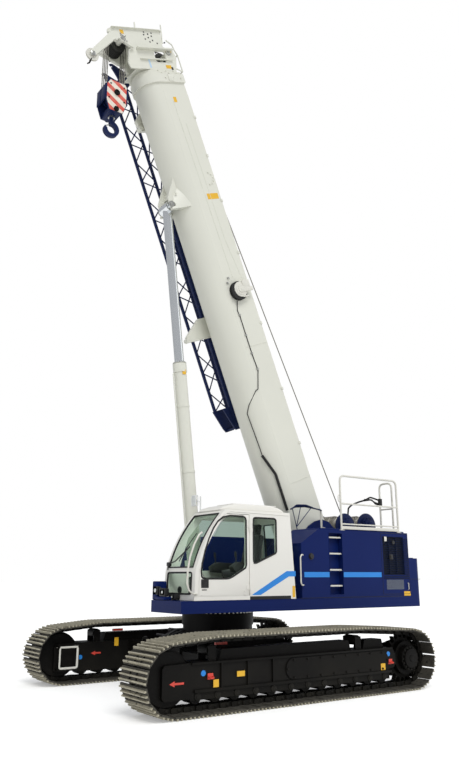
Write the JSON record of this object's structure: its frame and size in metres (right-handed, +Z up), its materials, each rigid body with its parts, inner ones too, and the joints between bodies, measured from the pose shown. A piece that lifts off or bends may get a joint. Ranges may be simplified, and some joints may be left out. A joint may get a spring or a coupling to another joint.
{
  "type": "telescopic boom crawler crane",
  "caption": "Crawler crane with telescoping axles, slewing upper with side cab, raised four-section telescopic boom, stowed lattice jib and hanging hook block.",
  "frame": {"origin": "slewing axis on the ground between the crawlers", "axes": "+X forward, +Y the crane's left, +Z up"},
  "size_m": [7.6534, 4.94, 13.6691],
  "materials": {
    "track_steel": "worn bare steel with dried soil",
    "chassis_paint": "satin black",
    "blue_paint": "gloss deep blue",
    "winch_paint": "gloss blue",
    "dark_grille": "satin dark blue",
    "rail_paint": "satin cream",
    "engine_iron": "rough cast",
    "cab_paint": "gloss ivory",
    "tinted_glass": "clear green tint",
    "seat_plastic": "matt black",
    "boom_paint": "gloss off-white",
    "sheave_iron": "machined grooves",
    "navy_paint": "gloss navy",
    "rope_wire": "greased wire rope",
    "rod_chrome": "ground hard chrome"
  },
  "bodies": {
    "carbody": {"carbody": "chassis_paint", "slew_ring": "chassis_paint"},
    "crawler_left": {"track_left": "track_steel", "idler_left": "chassis_paint", "sprocket_left": "chassis_paint", "rollers_left": "chassis_paint", "side_frame_left": "chassis_paint"},
    "crawler_right": {"track_right": "track_steel", "idler_right": "chassis_paint", "sprocket_right": "chassis_paint", "rollers_right": "chassis_paint", "side_frame_right": "chassis_paint"},
    "upper": {"turntable": "blue_paint", "left_hood": "blue_paint", "right_hood": "blue_paint", "grilles": "dark_grille", "counterweight": "blue_paint", "handrails": "rail_paint", "ladder": "rail_paint", "engine_block": "engine_iron", "cab_shell": "cab_paint", "cab_glass": "tinted_glass", "seat": "seat_plastic", "cab_fittings": "blue_paint", "foot_pin": "rod_chrome", "hoist_rope_low": "rope_wire"},
    "cab_door": {"cab_door": "cab_paint", "door_glass": "tinted_glass"},
    "main_winch": {"main_winch_drum": "winch_paint"},
    "aux_winch": {"aux_winch_drum": "winch_paint"},
    "boom_base": {"boom_base": "boom_paint", "fly_jib": "navy_paint", "jib_brackets": "boom_paint", "cable_reel": "seat_plastic", "hoist_rope": "rope_wire"},
    "boom_second": {"boom_second": "boom_paint"},
    "boom_third": {"boom_third": "boom_paint"},
    "boom_top": {"boom_top": "boom_paint", "head_sheaves": "sheave_iron", "head_rope": "rope_wire"},
    "luff_rod": {"luff_rod": "rod_chrome"},
    "luff_barrel": {"luff_barrel": "boom_paint"},
    "hook_block": {"hook_block": "navy_paint", "ropes": "rope_wire"},
    "hook": {"hook": "navy_paint"}
  },
  "joints": [
    {"name": "left_axle_slide", "type": "slide", "parent": "carbody", "child": "crawler_left", "axis": [0, 1, 0], "range_m": [-0.9, 0]},
    {"name": "right_axle_slide", "type": "slide", "parent": "carbody", "child": "crawler_right", "axis": [0, -1, 0], "range_m": [-0.9, 0]},
    {"name": "slew", "type": "hinge", "parent": "carbody", "child": "upper", "pos_m": [0, 0, 1.25], "axis": [0, 0, 1], "continuous": true},
    {"name": "cab_door_hinge", "type": "hinge", "parent": "upper", "child": "cab_door", "pos_m": [0.303, 1.464, 2.33], "axis": [0, 0, 1], "range_deg": [0, 80]},
    {"name": "main_winch_turn", "type": "hinge", "parent": "upper", "child": "main_winch", "pos_m": [-3.72, 0, 3.06], "axis": [0, 1, 0], "continuous": true},
    {"name": "aux_winch_turn", "type": "hinge", "parent": "upper", "child": "aux_winch", "pos_m": [-3.07, 0, 3.03], "axis": [0, 1, 0], "continuous": true},
    {"name": "boom_luff", "type": "hinge", "parent": "upper", "child": "boom_base", "pos_m": [-2.35, 0, 2.87], "axis": [0, -1, 0], "range_deg": [-68.3, 11.7]},
    {"name": "telescope", "type": "slide", "parent": "boom_base", "child": "boom_second", "axis": [0.3697, 0, 0.9291], "range_m": [0, 6.6]},
    {"name": "telescope_third", "type": "slide", "parent": "boom_second", "child": "boom_third", "axis": [0.3697, 0, 0.9291], "range_m": [0, 6.6]},
    {"name": "telescope_top", "type": "slide", "parent": "boom_third", "child": "boom_top", "axis": [0.3697, 0, 0.9291], "range_m": [0, 6.6]},
    {"name": "rod_pin", "type": "hinge", "parent": "boom_base", "child": "luff_rod", "pos_m": [1.33365, 0, 9.47614], "axis": [0, -1, 0], "range_deg": [-14, 3]},
    {"name": "luff_stroke", "type": "slide", "parent": "luff_rod", "child": "luff_barrel", "axis": [0.1124, 0, 0.9937], "range_m": [-0.54, 3.1]},
    {"name": "hook_block_hang", "type": "hinge", "parent": "boom_top", "child": "hook_block", "pos_m": [2.70181, 0, 12.86008], "axis": [0, -1, 0], "range_deg": [-12, 69]},
    {"name": "hook_swivel", "type": "hinge", "parent": "hook_block", "child": "hook", "pos_m": [2.70181, 0, 11.06008], "axis": [0, 0, 1], "continuous": true}
  ],
  "couplings": [
    {"joint": "telescope_third", "follows": "telescope", "ratio": 1},
    {"joint": "telescope_top", "follows": "telescope", "ratio": 1},
    {"joint": "rod_pin", "follows": "boom_luff", "ratio": 0.19822},
    {"joint": "luff_stroke", "follows": "boom_luff", "m_per_rad": -2.5865},
    {"joint": "hook_block_hang", "follows": "boom_luff", "ratio": -1}
  ]
}
